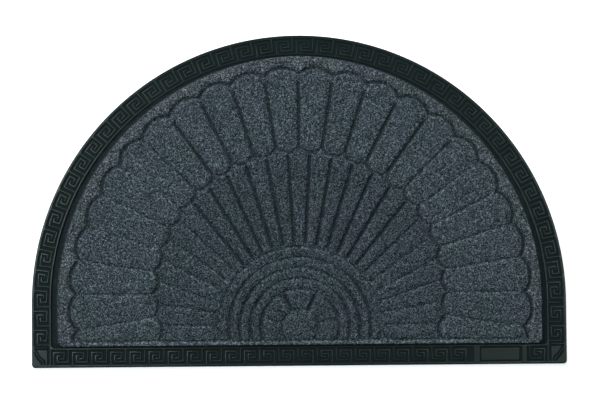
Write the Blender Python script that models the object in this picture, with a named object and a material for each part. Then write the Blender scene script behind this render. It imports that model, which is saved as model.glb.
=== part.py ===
"""Half-round doormat: a moulded rubber tray with a raised key border, and a
carpet inlay pressed into a fan.

Metres, +Z up. X runs along the straight edge and Y towards the top of the arc.
The origin is under the middle of the mat, on the floor. Outlines are lists of
(x, y) points; a border place is (s, d), with s along the border and d inwards
from the mat's outer edge.
"""

import math

import bmesh
import bpy
from mathutils import Vector
from mathutils.geometry import delaunay_2d_cdt

MM = 0.001

# The mat's outline: a half circle over a short straight side.
WIDTH = 750 * MM
ARC_RADIUS = WIDTH / 2
SIDE = 90 * MM
DEPTH = ARC_RADIUS + SIDE
EDGE_Y = -DEPTH / 2
ARC_Y = EDGE_Y + SIDE
OUTER_CORNER = 5 * MM
CORNER_STEPS = 4
POINT_SPACE = 4 * MM

# Heights of the rubber tray.
FLOOR_Z = 1.8 * MM
GROUND_Z = 3.3 * MM
RUBBER_TOP_Z = 4.5 * MM
RIM_BEVEL = 1.6 * MM

# The border's zones, inwards from the outer edge.
RIM = 4.0 * MM
KEY_END = 24.8 * MM
BAND_END = 27.4 * MM
RIM_CORNER = 1.5 * MM
BAND_CORNER = 6.5 * MM

# The key pattern. Each unit has two bent lines, given as (forward, inward)
# shares of the unit's length and of the key zone's width. One hangs from the
# inner band, the other stands on the rim.
LINE_WIDTH = 1.7 * MM
LINE_LAP = 0.6 * MM
BAND_LINE = [(0.0, 1.0), (0.0, 0.18), (0.588, 0.18), (0.588, 0.61), (0.33, 0.61)]
RIM_LINE = [(0.779, 0.0), (0.779, 0.83), (0.225, 0.83), (0.225, 0.395), (0.46, 0.395)]
STRAIGHT_PITCH = 26.8 * MM
ARC_UNITS = 40
SIDE_UNITS = 2
FIRST_SIDE_UNIT = 31.8 * MM
BOTTOM_UNITS = 11
BOTTOM_MIDDLE_X = -55.4 * MM
LAST_UNIT_X = 323.0 * MM
CLEAR_OF_RIM_LINE = 0.03
CLEAR_OF_BAND_LINE = 0.25

# The bare plaque in the straight border, between two bars.
PLAQUE_X = (255.0 * MM, 308.6 * MM)
PLAQUE_D = (5.6 * MM, 23.0 * MM)
PLAQUE_BARS = [(244.6 * MM, 253.2 * MM), (312.4 * MM, 318.8 * MM)]

# The corner motif, in millimetres from the two outer edges: (from the side,
# from the straight edge).
CORNER_LEAF = [(8.0, 25.0), (9.4, 20.0), (13.2, 14.8), (18.0, 11.0), (19.5, 7.5)]
CORNER_LEAF_FOOT = [(19.5, 3.0), (21.7, 3.0), (21.7, 25.0)]
CORNER_VEIN = [(2.6, 26.0), (7.2, 19.2), (10.9, 13.7), (15.2, 9.8), (16.5, 2.8)]
CORNER_BASE = [(3.0, 21.5), (4.9, 16.4), (8.4, 10.9), (12.6, 6.8), (13.3, 3.0), (3.0, 3.0)]
CORNER_BAR = [(3.0, 27.9), (21.5, 27.9)]
CORNER_BAR_WIDTH = 2.3 * MM
CORNER_POST = [(24.8, 3.0), (27.4, 3.0), (27.4, 26.0), (24.8, 26.0)]

# The carpet inlay: its foot stands back from the band, further at the sides.
CARPET_BOTTOM_Z = 2.1 * MM
GROOVE_Z = 6.2 * MM
CARPET_TOP_Z = 8.5 * MM
CARPET_FOOT = 27.9 * MM
CARPET_SIDE_GAP = 2.6 * MM
CARPET_CORNER = 6.0 * MM
GROOVE_HALF = 2.6 * MM

# The fan. Angles are degrees from +Y, clockwise.
FAN_Y = ARC_Y + 12 * MM
PETAL_ANGLE = 9.0
PETALS_A_SIDE = 13
PETAL_REACH = 323.5 * MM
PETAL_TOP_SHORT = 4.5 * MM
SCALLOP = 10 * MM
SCALLOP_POWER = 0.7
SCALLOP_STEPS = 8
PETAL_FOOT = 203.5 * MM
FOOT_BULGE = 5.5 * MM
FOOT_STEPS = 4
RING_Y = ARC_Y - 36 * MM
RINGS = [115.2 * MM, 100.3 * MM, 85.4 * MM, 70.5 * MM, 55.6 * MM]
RING_TAIL_ANGLES = [106.0, 114.0, 122.0, 130.0, 135.0]
DISC = 25.5 * MM
ROSETTE_ANGLES = [-135, -75, -25, 25, 75, 135]
ROSETTE_STEP = 10
ROSETTE_FOOT_STEPS = 4
FIELD_BOTTOM_Y = EDGE_Y + 37.0 * MM
BOTTOM_RIM_PIECES = 10
SMALLEST_CELL = 60 * MM * MM

SAME_POINT = 1e-6


# ---------------------------------------------------------------- outlines


def arc_points(centre, radius, start, end, steps):
    """Points on an arc between two angles in degrees, clockwise from +Y."""
    if not steps:
        return [centre]
    turn = [math.radians(start + (end - start) * i / steps) for i in range(steps + 1)]
    return [(centre[0] + radius * math.sin(a), centre[1] + radius * math.cos(a)) for a in turn]


def half_round(inset, corner, share):
    """The mat's D outline, moved inwards, with rounded lower corners.

    Its other points lie at this share of each key unit and half a unit on.
    """
    side_x = ARC_RADIUS - inset
    low_y = EDGE_Y + inset
    steps = CORNER_STEPS if corner else 0
    left = arc_points((corner - side_x, low_y + corner), corner, 180, 270, steps)
    right = arc_points((side_x - corner, low_y + corner), corner, 90, 180, steps)
    loop_places, bottom_places = [SIDE, LOOP_LENGTH - SIDE], []
    for place, start, pitch in key_units():
        places = bottom_places if place is on_bottom else loop_places
        places += [start + share * pitch, start + (share + 0.5) * pitch]
    loop = [on_loop(s, inset) for s in sorted(loop_places) if s > inset + corner]
    loop = [p for p in loop if p[1] > low_y + corner + POINT_SPACE]
    bottom = [on_bottom(s, inset) for s in sorted(bottom_places, reverse=True)]
    bottom = [p for p in bottom if abs(p[0]) < side_x - corner - POINT_SPACE]
    return left + loop + right + bottom


def ribbon(points, width):
    """The outline of a bent line of constant width, with mitred corners."""
    points = [Vector(p) for p in points]
    steps = [(b - a).normalized() for a, b in zip(points, points[1:])]
    normals = [Vector((-t.y, t.x)) for t in steps]
    left, right = [], []
    for i, point in enumerate(points):
        before = normals[max(i - 1, 0)]
        after = normals[min(i, len(normals) - 1)]
        mitre = (before + after) / (1 + before.dot(after)) * (width / 2)
        left.append(point + mitre)
        right.append(point - mitre)
    return left + right[::-1]


def box(x_range, y_range):
    """A rectangle's outline."""
    (x0, x1), (y0, y1) = x_range, y_range
    return [(x0, y0), (x1, y0), (x1, y1), (x0, y1)]


def above(outline, low_y):
    """The part of an outline that lies above a level line."""
    kept = []
    for a, b in zip(outline, outline[1:] + outline[:1]):
        if a[1] >= low_y:
            kept.append(a)
        if (a[1] - low_y) * (b[1] - low_y) < 0:
            share = (low_y - a[1]) / (b[1] - a[1])
            kept.append((a[0] + share * (b[0] - a[0]), low_y))
    return kept


# ------------------------------------------------------------- planar maps


def signed_area(outline):
    """Twice the outline's area, above zero if it runs anticlockwise."""
    pairs = zip(outline, outline[1:] + outline[:1])
    return sum(a[0] * b[1] - b[0] * a[1] for a, b in pairs)


def planar_map(shapes, z):
    """Lay named outlines over each other and cut them along their crossings.

    Returns a flat mesh of triangles at height z, with a face layer named top,
    and for each face the set of names of the shapes that cover it.
    """
    points, loops, names = [], [], []
    for name, outline in shapes:
        if signed_area(outline) < 0:
            outline = outline[::-1]
        loops.append(list(range(len(points), len(points) + len(outline))))
        points += [Vector(p) for p in outline]
        names.append(name)
    places, _, triangles, _, _, covers = delaunay_2d_cdt(points, [], loops, 1, SAME_POINT)
    mesh = bmesh.new()
    mesh.faces.layers.int.new("top")
    corners = [mesh.verts.new((p.x, p.y, z)) for p in places]
    cover_of = {}
    for triangle, cover in zip(triangles, covers):
        face = mesh.faces.new([corners[i] for i in triangle])
        cover_of[face] = {names[i] for i in cover}
    bmesh.ops.delete(mesh, geom=[v for v in mesh.verts if not v.link_faces], context="VERTS")
    return mesh, cover_of


def raise_faces(mesh, faces, height):
    """Extrude a region straight up and return its raised faces."""
    grown = bmesh.ops.extrude_face_region(mesh, geom=faces)["geom"]
    bmesh.ops.delete(mesh, geom=faces, context="FACES")
    verts = [g for g in grown if isinstance(g, bmesh.types.BMVert)]
    bmesh.ops.translate(mesh, verts=verts, vec=(0, 0, height))
    return [g for g in grown if isinstance(g, bmesh.types.BMFace)]


def close_below(mesh, bottom_z):
    """Drop a wall from the open edge to bottom_z and fill the underside."""
    rim = [e for e in mesh.edges if e.is_boundary]
    grown = bmesh.ops.extrude_edge_only(mesh, edges=rim)["geom"]
    for vert in [g for g in grown if isinstance(g, bmesh.types.BMVert)]:
        vert.co.z = bottom_z
    edges = [g for g in grown if isinstance(g, bmesh.types.BMEdge)]
    bmesh.ops.edgeloop_fill(mesh, edges=[e for e in edges if e.is_boundary])
    bmesh.ops.recalc_face_normals(mesh, faces=mesh.faces)


def add_object(name, mesh, material):
    """Turn the mesh into a named object with its own material."""
    data = bpy.data.meshes.new(name)
    mesh.to_mesh(data)
    mesh.free()
    data.materials.append(material)
    item = bpy.data.objects.new(name, data)
    bpy.context.collection.objects.link(item)
    return item


def plain_material(name, color, roughness):
    """A Principled BSDF with one colour."""
    material = bpy.data.materials.new(name)
    material.use_nodes = True
    shader = material.node_tree.nodes["Principled BSDF"]
    shader.inputs["Base Color"].default_value = (*color, 1)
    shader.inputs["Roughness"].default_value = roughness
    shader.inputs["Metallic"].default_value = 0.0
    return material


# --------------------------------------------------------- the rubber tray


KEY_RADIUS = ARC_RADIUS - (RIM + KEY_END) / 2
ARC_LENGTH = math.pi * KEY_RADIUS
LOOP_LENGTH = 2 * SIDE + ARC_LENGTH


def on_loop(s, d):
    """A place on the border of the left side, the arc and the right side."""
    if s > LOOP_LENGTH / 2:
        x, y = on_loop(LOOP_LENGTH - s, d)
        return -x, y
    if s < SIDE:
        return d - ARC_RADIUS, EDGE_Y + s
    angle = (s - SIDE) / KEY_RADIUS
    reach = ARC_RADIUS - d
    return -reach * math.cos(angle), ARC_Y + reach * math.sin(angle)


def on_bottom(s, d):
    """A place on the straight border; s is x."""
    return s, EDGE_Y + d


def key_units():
    """Every key unit as (border, start, pitch); a negative pitch mirrors it."""
    units = []
    last_side = FIRST_SIDE_UNIT + SIDE_UNITS * STRAIGHT_PITCH
    arc_pitch = (LOOP_LENGTH - 2 * last_side) / ARC_UNITS
    for i in range(SIDE_UNITS):
        start = FIRST_SIDE_UNIT + i * STRAIGHT_PITCH
        units.append((on_loop, start, STRAIGHT_PITCH))
        units.append((on_loop, LOOP_LENGTH - start, -STRAIGHT_PITCH))
    for i in range(ARC_UNITS):
        units.append((on_loop, last_side + i * arc_pitch, arc_pitch))
    for i in range(BOTTOM_UNITS):
        units.append((on_bottom, BOTTOM_MIDDLE_X - i * STRAIGHT_PITCH, -STRAIGHT_PITCH))
        units.append((on_bottom, BOTTOM_MIDDLE_X + i * STRAIGHT_PITCH, STRAIGHT_PITCH))
    units.append((on_bottom, LAST_UNIT_X, STRAIGHT_PITCH))
    return units


def unit_lines(place, start, pitch):
    """The outlines of one unit's two lines."""
    depth = KEY_END - RIM
    outlines = []
    for line in (BAND_LINE, RIM_LINE):
        lap = math.copysign(LINE_LAP, line[0][1] - 0.5)
        points = [(u * pitch, RIM + v * depth) for u, v in line]
        points[0] = (points[0][0], points[0][1] + lap)
        bent = ribbon(points, LINE_WIDTH)
        outlines.append([place(start + s, d) for s, d in bent])
    return outlines


def key_lines():
    """All raised lines of the key border, and the bar that ends the arc's run."""
    lines = [line for unit in key_units() for line in unit_lines(*unit)]
    end = LOOP_LENGTH - FIRST_SIDE_UNIT - SIDE_UNITS * STRAIGHT_PITCH
    bar = ribbon([(end, KEY_END + LINE_LAP), (end, RIM + 2 * LINE_WIDTH)], LINE_WIDTH)
    return lines + [[on_loop(s, d) for s, d in bar]]


def plaque_shapes():
    """The bare plaque and the bars at its ends."""
    across = (EDGE_Y + RIM - LINE_LAP, EDGE_Y + KEY_END + LINE_LAP)
    shapes = [box(bar, across) for bar in PLAQUE_BARS]
    shapes.append(box(PLAQUE_X, tuple(EDGE_Y + d for d in PLAQUE_D)))
    return shapes


def corner_shapes(side):
    """The motif in one lower corner; side is -1 at the left and 1 at the right."""
    in_metres = [
        [(p * MM, q * MM) for p, q in CORNER_LEAF + CORNER_LEAF_FOOT],
        [(p * MM, q * MM) for p, q in CORNER_BASE],
        [(p * MM, q * MM) for p, q in CORNER_POST],
        ribbon([(p * MM, q * MM) for p, q in CORNER_VEIN], LINE_WIDTH),
        ribbon([(p * MM, q * MM) for p, q in CORNER_BAR], CORNER_BAR_WIDTH),
    ]
    return [[(side * (ARC_RADIUS - p), EDGE_Y + q) for p, q in shape] for shape in in_metres]


def rubber_tray(material):
    """The moulded tray: floor, key ground, raised lines, rim and inner band."""
    raised = key_lines() + plaque_shapes() + corner_shapes(-1) + corner_shapes(1)
    shapes = [("raised", outline) for outline in raised]
    shapes.append(("outer", half_round(0, OUTER_CORNER, CLEAR_OF_RIM_LINE)))
    shapes.append(("inside_rim", half_round(RIM, RIM_CORNER, CLEAR_OF_RIM_LINE)))
    shapes.append(("inside_key", half_round(KEY_END, 0, CLEAR_OF_BAND_LINE)))
    shapes.append(("floor", half_round(BAND_END, BAND_CORNER, CLEAR_OF_BAND_LINE)))
    mesh, cover_of = planar_map(shapes, FLOOR_Z)
    border = {f: c for f, c in cover_of.items() if "floor" not in c}
    tops = [f for f, c in border.items() if "raised" in c or "inside_rim" not in c or "inside_key" in c]
    mark = mesh.faces.layers.int["top"]
    for face in tops:
        face[mark] = 1
    lifted = raise_faces(mesh, list(border), GROUND_Z - FLOOR_Z)
    raise_faces(mesh, [f for f in lifted if f[mark]], RUBBER_TOP_Z - GROUND_Z)
    close_below(mesh, 0)
    level_seams = [e for e in mesh.edges if is_wall_seam(e)]
    bmesh.ops.dissolve_edges(mesh, edges=level_seams, use_verts=True)
    rim_edges = [e for e in mesh.edges if is_outer_edge(e)]
    bmesh.ops.bevel(mesh, geom=rim_edges, offset=RIM_BEVEL, segments=1, profile=0.5, affect="EDGES")
    return add_object("rubber_tray", mesh, material)


def is_wall_seam(edge):
    """Whether an edge is a level seam across one flat upright wall."""
    a, b = edge.verts
    if abs(a.co.z - b.co.z) > SAME_POINT or len(edge.link_faces) != 2:
        return False
    one, other = (face.normal for face in edge.link_faces)
    return abs(one.z) < 0.01 and one.dot(other) > 0.9999


def is_outer_edge(edge):
    """Whether an edge runs along the top of the mat's outer wall."""
    a, b = (v.co for v in edge.verts)
    if min(a.z, b.z) < RUBBER_TOP_Z - SAME_POINT:
        return False
    return max(edge_inset(a), edge_inset(b)) < SAME_POINT * 10


def edge_inset(point):
    """How far a point lies inside the mat's outer outline, at its corners a little less."""
    side = ARC_RADIUS - abs(point.x)
    low = point.y - EDGE_Y
    corner = math.hypot(OUTER_CORNER - side, OUTER_CORNER - low)
    if side < OUTER_CORNER and low < OUTER_CORNER:
        return OUTER_CORNER - corner
    if point.y > ARC_Y:
        return ARC_RADIUS - math.hypot(point.x, point.y - ARC_Y)
    return min(side, low)


# -------------------------------------------------------- the carpet inlay


def carpet_foot():
    """The carpet's outline: closer to the band at the top and bottom than at the sides."""
    outline = half_round(CARPET_FOOT, CARPET_CORNER, CLEAR_OF_BAND_LINE)
    moved = []
    for x, y in outline:
        rise = max(y - ARC_Y, 0)
        sideways = abs(x) / math.hypot(x, rise)
        moved.append((x - math.copysign(CARPET_SIDE_GAP * sideways, x), y))
    return moved


def fan_point(angle, radius):
    """A point at an angle and a distance from the petals' centre."""
    return arc_points((0, FAN_Y), radius, angle, angle, 1)[0]


def scallop_radius(angle):
    """How far the petals reach at an angle: round ends between cusps."""
    share = (angle / PETAL_ANGLE) % 1
    bulge = math.sin(math.pi * share) ** SCALLOP_POWER
    shorter = PETAL_TOP_SHORT * math.cos(math.radians(angle))
    return PETAL_REACH - shorter - SCALLOP * (1 - bulge)


def foot_radius(angle):
    """Where the petals end inwards: a shallower round end."""
    share = (angle / PETAL_ANGLE) % 1
    return PETAL_FOOT - FOOT_BULGE * math.sin(math.pi * share)


def foot_points(first, last, steps):
    """Points along the petals' inner ends, between two petal numbers."""
    numbers = [first + (last - first) * i / steps for i in range(steps + 1)]
    return [fan_point(n * PETAL_ANGLE, foot_radius(n * PETAL_ANGLE)) for n in numbers]


def petal(number):
    """One outer petal, from its number to the next."""
    numbers = [number + i / SCALLOP_STEPS for i in range(SCALLOP_STEPS + 1)]
    outer = [fan_point(n * PETAL_ANGLE, scallop_radius(n * PETAL_ANGLE)) for n in numbers]
    return outer + foot_points(number, number + 1, FOOT_STEPS)[::-1]


def ray_angle(number):
    """The direction, from the rings' centre, of the groove that meets a petal's foot."""
    x, y = fan_point(number * PETAL_ANGLE, foot_radius(number * PETAL_ANGLE))
    return math.degrees(math.atan2(x, y - RING_Y))


def ring_point(angle, radius):
    """A point at an angle and a distance from the rings' centre."""
    return arc_points((0, RING_Y), radius, angle, angle, 1)[0]


def ray(number):
    """One wedge between the petals and the rings, centred on a petal groove."""
    head = foot_points(number - 0.5, number + 0.5, FOOT_STEPS)
    tail = [ring_point(ray_angle(number + half), RINGS[0]) for half in (0.5, -0.5)]
    return head + tail


def ring_angles(radius):
    """The angles at which a ring's edge has a corner: at each ray or, inmost, at even steps."""
    if radius == RINGS[-1]:
        return list(range(ROSETTE_ANGLES[0], ROSETTE_ANGLES[-1] + 1, ROSETTE_STEP))
    rays = [ray_angle(n + 0.5) for n in range(-PETALS_A_SIDE, PETALS_A_SIDE)]
    return sorted(rays + RING_TAIL_ANGLES + [-a for a in RING_TAIL_ANGLES])


def ring_edge(radius, start, end):
    """A ring's edge, without the points that lie closely above the field's lower edge."""
    points = [ring_point(a, radius) for a in ring_angles(radius) if start <= a <= end]
    return [p for p in points if not 0 < p[1] - FIELD_BOTTOM_Y < 2 * GROOVE_HALF]


def ring(outer, inner):
    """One ring, open below the field."""
    return ring_edge(outer, -180, 180) + ring_edge(inner, -180, 180)[::-1]


def rosette_petal(start, end):
    """One petal between the central disc and the inmost ring."""
    foot = arc_points((0, RING_Y), DISC, end, start, ROSETTE_FOOT_STEPS)
    return ring_edge(RINGS[-1], start, end) + foot


def fan_cells():
    """Every raised cell of the fan, by name."""
    sides = range(-PETALS_A_SIDE, PETALS_A_SIDE)
    cells = [(f"petal_{n}", petal(n)) for n in sides]
    cells += [(f"ray_{n}", ray(n)) for n in sides[1:]]
    cells += [(f"ring_{i}", ring(a, b)) for i, (a, b) in enumerate(zip(RINGS, RINGS[1:]))]
    spans = zip(ROSETTE_ANGLES, ROSETTE_ANGLES[1:])
    cells += [(f"rosette_{i}", rosette_petal(a, b)) for i, (a, b) in enumerate(spans)]
    disc = []
    for a, b in zip(ROSETTE_ANGLES, ROSETTE_ANGLES[1:] + [ROSETTE_ANGLES[0] + 360]):
        disc += arc_points((0, RING_Y), DISC, a, b, ROSETTE_FOOT_STEPS)[:-1]
    return cells + [("disc", disc)]


def rim_pieces():
    """Outlines that divide the carpet's flat rim into short pieces, by name."""
    pieces = []
    for n in range(-PETALS_A_SIDE, PETALS_A_SIDE):
        inner = [fan_point(k * PETAL_ANGLE, scallop_radius(k * PETAL_ANGLE)) for k in (n, n + 1)]
        outer = [fan_point(k * PETAL_ANGLE, WIDTH) for k in (n + 1, n)]
        pieces.append((f"rim_{n}", inner + outer))
    return pieces


def bottom_pieces():
    """Outlines that divide the rim below the fan."""
    ends = [WIDTH * i / BOTTOM_RIM_PIECES - ARC_RADIUS for i in range(BOTTOM_RIM_PIECES + 1)]
    y_range = (EDGE_Y, FIELD_BOTTOM_Y)
    return [(f"rim_bottom_{i}", box(x_range, y_range)) for i, x_range in enumerate(zip(ends, ends[1:]))]


def carpet_faces(mesh, cover_of):
    """Join the map's triangles into faces; returns the cells and the rim pieces."""
    groups = {}
    for face, cover in cover_of.items():
        cells = [name for name in cover if not name.startswith(("rim", "carpet"))]
        rims = [name for name in cover if name.startswith("rim")]
        key = (cells or rims)[0] if "carpet" in cover else ""
        groups.setdefault(key, []).append(face)
    bmesh.ops.delete(mesh, geom=groups.pop(""), context="FACES")
    cells, rim = [], []
    for name, faces in groups.items():
        if sum(f.calc_area() for f in faces) > SMALLEST_CELL:
            joined = bmesh.ops.dissolve_faces(mesh, faces=faces)["region"]
            (rim if name.startswith("rim") else cells).extend(joined)
    return cells, rim


def carpet_inlay(material):
    """The carpet: fan cells and a flat rim, raised between pressed grooves."""
    fan = [(name, above(outline, FIELD_BOTTOM_Y)) for name, outline in fan_cells() + rim_pieces()]
    shapes = [(name, outline) for name, outline in fan if outline]
    mesh, cover_of = planar_map(shapes + bottom_pieces() + [("carpet", carpet_foot())], GROOVE_Z)
    cells, rim = carpet_faces(mesh, cover_of)
    press = {"thickness": GROOVE_HALF, "depth": CARPET_TOP_Z - GROOVE_Z, "use_even_offset": True}
    bmesh.ops.inset_individual(mesh, faces=cells, **press)
    bmesh.ops.inset_region(mesh, faces=rim, use_boundary=True, **press)
    close_below(mesh, CARPET_BOTTOM_Z)
    return add_object("carpet_inlay", mesh, material)


def main():
    for item in list(bpy.data.objects):
        bpy.data.objects.remove(item, do_unlink=True)
    rubber_tray(plain_material("rubber", (0.022, 0.030, 0.030), 0.55))
    carpet_inlay(plain_material("carpet", (0.040, 0.055, 0.064), 0.95))


main()
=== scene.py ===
"""The looks of a half-round doormat: a moulded rubber tray with a raised key
border, and a felt carpet pressed into a fan, with its short pile.

Metres, +Z up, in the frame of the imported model. Outlines are lists of (x, y)
points; a border place is (s, d), with s along the border and d inwards from the
mat's outer edge. Heights are worked out for any place on the mat, so that the
meshes and the pile follow the same relief.
"""

import math

import bpy
import numpy as np
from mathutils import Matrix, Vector, noise
from mathutils.geometry import delaunay_2d_cdt
from mathutils.kdtree import KDTree


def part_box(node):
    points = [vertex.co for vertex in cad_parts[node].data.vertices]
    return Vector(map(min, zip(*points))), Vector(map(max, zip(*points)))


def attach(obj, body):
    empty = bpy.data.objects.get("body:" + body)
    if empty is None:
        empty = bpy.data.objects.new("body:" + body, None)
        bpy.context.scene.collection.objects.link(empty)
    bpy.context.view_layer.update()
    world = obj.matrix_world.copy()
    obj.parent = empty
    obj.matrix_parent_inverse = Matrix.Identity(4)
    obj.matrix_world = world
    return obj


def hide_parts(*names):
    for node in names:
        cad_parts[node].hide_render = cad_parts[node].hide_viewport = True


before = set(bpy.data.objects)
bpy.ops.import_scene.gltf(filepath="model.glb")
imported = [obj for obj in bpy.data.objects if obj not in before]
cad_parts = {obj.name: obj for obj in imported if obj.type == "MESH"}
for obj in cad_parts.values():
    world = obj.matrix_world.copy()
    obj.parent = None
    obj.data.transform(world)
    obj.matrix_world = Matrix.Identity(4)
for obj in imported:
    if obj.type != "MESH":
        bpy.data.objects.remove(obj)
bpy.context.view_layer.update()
TRAY_LOW, TRAY_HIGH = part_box("rubber_tray")
CARPET_LOW, CARPET_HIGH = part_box("carpet_inlay")

MM = 0.001

# The outline, from the frame: a half circle round (0, ARC_Y) over a straight part
# as long as SIDE, with the straight edge at EDGE_Y.
ARC_RADIUS = (TRAY_HIGH.x - TRAY_LOW.x) / 2
EDGE_Y = TRAY_LOW.y
ARC_Y = TRAY_HIGH.y - ARC_RADIUS
SIDE = ARC_Y - EDGE_Y
OUTER_CORNER = 5 * MM
CORNER_STEPS = 6

# Heights of the tray: the ground between the raised lines, and the lines over it.
GROUND_Z = 3.3 * MM
LINE_HEIGHT = TRAY_HIGH.z - GROUND_Z

# The border's zones, inwards from the outer edge.
RIM = 4.0 * MM
KEY_END = 24.8 * MM
BAND_END = 27.4 * MM
BAND_CORNER = 6.5 * MM
# The small bevel at the foot of the tray and of the carpet.
MOULD_FOOT = 0.4 * MM

# The border's cross-section, as (distance inwards, height) in millimetres.
BORDER_PROFILE = [
    (0.0, 3.3), (0.15, 3.8), (0.5, 4.2), (1.0, 4.42), (1.7, 4.5), (3.5, 4.5), (3.8, 4.35), (4.0, 3.95),
    (4.3, 3.3), (24.5, 3.3), (24.8, 3.95), (25.0, 4.35), (25.3, 4.5), (40.0, 4.5),
]
# The band's inner wall, as (distance inwards from the floor's outline, height).
BAND_PROFILE = [(-0.7, 4.5), (-0.35, 4.35), (-0.12, 3.9), (0.15, 1.8)]
# A raised line's cross-section, as (distance outwards from its edge, share of its height).
LINE_PROFILE = [(-0.45, 1.0), (-0.2, 0.88), (0.0, 0.55), (0.25, 0.0)]
# Where the flat top of a broad raised shape starts, so that it is shaded flat.
FLAT_TOP = 0.8 * MM
# Edges over this many degrees are left sharp.
TRAY_CREASE, CARPET_CREASE = 42, 60

# The key pattern. Each unit has two bent lines, given as (forward, inward)
# shares of the unit's length and of the key zone's width. One hangs from the
# inner band, the other stands on the rim, and both lap over what they start from.
LINE_WIDTH = 2.0 * MM
LINE_LAP = 0.6 * MM
BAND_LINE = [(0.0, 1.0), (0.0, 0.18), (0.588, 0.18), (0.588, 0.61), (0.33, 0.61)]
RIM_LINE = [(0.779, 0.0), (0.779, 0.83), (0.225, 0.83), (0.225, 0.395), (0.46, 0.395)]
STRAIGHT_PITCH = 26.8 * MM
ARC_UNITS = 40
SIDE_UNITS = 2
FIRST_SIDE_UNIT = 31.8 * MM
BOTTOM_UNITS = 11
BOTTOM_MIDDLE_X = -55.4 * MM
LAST_UNIT_X = 323.0 * MM
# The border's length is measured along the middle of the key zone.
KEY_RADIUS = ARC_RADIUS - (RIM + KEY_END) / 2
LOOP_LENGTH = 2 * SIDE + math.pi * KEY_RADIUS
# The outline has this many points to a unit.
POINTS_A_UNIT = 4

# The bare plaque in the straight border, between two bars.
PLAQUE_X = (255.0 * MM, 308.6 * MM)
PLAQUE_D = (5.6 * MM, 23.0 * MM)
PLAQUE_BARS = [(244.6 * MM, 253.2 * MM), (312.4 * MM, 318.8 * MM)]

# The corner motif, in millimetres from the two outer edges: (from the side,
# from the straight edge).
CORNER_LEAF = [(8.0, 25.0), (9.4, 20.0), (13.2, 14.8), (18.0, 11.0), (19.5, 7.5)]
CORNER_LEAF_FOOT = [(19.5, 3.0), (21.7, 3.0), (21.7, 25.0)]
CORNER_VEIN = [(2.6, 26.0), (7.2, 19.2), (10.9, 13.7), (15.2, 9.8), (16.5, 2.8)]
CORNER_BASE = [(3.0, 21.5), (4.9, 16.4), (8.4, 10.9), (12.6, 6.8), (13.3, 3.0), (3.0, 3.0)]
CORNER_BAR = [(3.0, 27.9), (21.5, 27.9)]
CORNER_BAR_WIDTH = 2.3 * MM
CORNER_POST = [(24.8, 3.0), (27.4, 3.0), (27.4, 26.0), (24.8, 26.0)]

# The carpet's edge: a thin skirt from its foot, then a steep shoulder. Both stand
# further in at the sides. The skirt takes the first share of the way between them.
CARPET_BOTTOM_Z = CARPET_LOW.z
CARPET_TOP_Z = CARPET_HIGH.z
CARPET_FOOT = 27.9 * MM
FOOT_SIDE_GAP = 2.6 * MM
SHOULDER = 30.4 * MM
SHOULDER_SIDE_GAP = 7.6 * MM
SKIRT_SHARE = 0.4
CARPET_CORNER = 6.0 * MM
CARPET_EDGE_Z = 3.4 * MM
# The mesh has an outline at each of these shares of the way.
EDGE_SHARES = (0, 0.4, 0.55, 0.7, 0.85, 1)

# The fan, a little lower than it is wide. Angles are degrees from +Y, clockwise.
FAN_X, FAN_Y = 2.1 * MM, ARC_Y + 11.5 * MM
FAN_SQUASH = 0.991
# The petals reach this far between their cusps, and further from an angle on.
PETAL_ANGLE = 9.0
PETALS_A_SIDE = 13
PETAL_REACH = 320.6 * MM
LONGER_FROM, LONGER_A_DEGREE = 68, 0.18 * MM
SCALLOP, SCALLOP_POWER = 10.5 * MM, 0.7
# Their feet bulge inwards, and their sides stop short of the cusps.
PETAL_FOOT = 209.0 * MM
FOOT_BULGE, FOOT_POWER = 9.5 * MM, 0.6
SIDE_SHORT = 11 * MM
# A ray starts a little inside a petal's foot and ends a gap outside the rings. An
# upright ray aims the whole drop below the rings' centre, and a level one is lifted.
RAY_SHORT = 5.5 * MM
RAY_GAP = 4 * MM
RAY_DROP, RAY_LIFT = 12.5 * MM, 1.2 * MM
# The rings, the disc in their middle and the short lines round it.
RING_X, RING_Y = 1.2 * MM, ARC_Y - 36.5 * MM
RINGS = [114.3 * MM, 99.4 * MM, 84.5 * MM, 69.6 * MM, 54.7 * MM]
DISC = 25.5 * MM
ROSETTE_ANGLES = [-135, -75, -25, 25, 75, 135]
# The groove over the plain strip along the straight edge.
FIELD_BOTTOM_Y = EDGE_Y + 35.6 * MM
FIELD_HALF_WIDTH = 313 * MM

# Grooves: the pressed channel is flat to its floor's half width and ends at its
# half width. The soft hollow round it makes each field between grooves a low pillow.
PRESS_FLOOR, PRESS_HALF, PRESS_DEPTH = 0.9 * MM, 3.9 * MM, 2.2 * MM
HOLLOW_HALF, HOLLOW_DEPTH = 9.0 * MM, 0.6 * MM
# The felt has a grain along Y. A groove that runs less than the first share
# along Y lies across the grain, and from the second share on it lies along it.
GRAIN_RANGE = (0.58, 0.82)
# How firmly each kind of groove is pressed, across the grain and along it, as a
# share of its depth. A lighter groove is narrower, and paler too, as its darkening, partly painted
# shade, is weaker.
SCALLOP_PRESS = (0.89, 1.0)
FOOT_PRESS = (0.76, 0.94)
OUTER_RING_PRESS = (0.45, 0.65)
RING_PRESS = (0.5, 0.93)
DISC_PRESS = (0.2, 0.85)
OTHER_PRESS = (0.5, 1.0)
GROOVE_STEP = 0.5 * MM
WAVE_HEIGHT, WAVE_LENGTH = 0.18 * MM, 45 * MM

# The carpet's mesh: rows of points beside the grooves, and an even, shaken fill.
ROW_OFFSETS = [0.0, 1.1 * MM, 1.9 * MM, 2.7 * MM, 3.6 * MM]
ROW_SPACE = 1.9 * MM
FILL_SPACE, FILL_SEED = 2.4 * MM, 5
CLEAR_SPACE = 0.75 * MM
# A triangular grid's row spacing and how far its points are shaken, as shares of
# its spacing.
GRID_ROW, GRID_SHAKE = 0.866, 0.2

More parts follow.
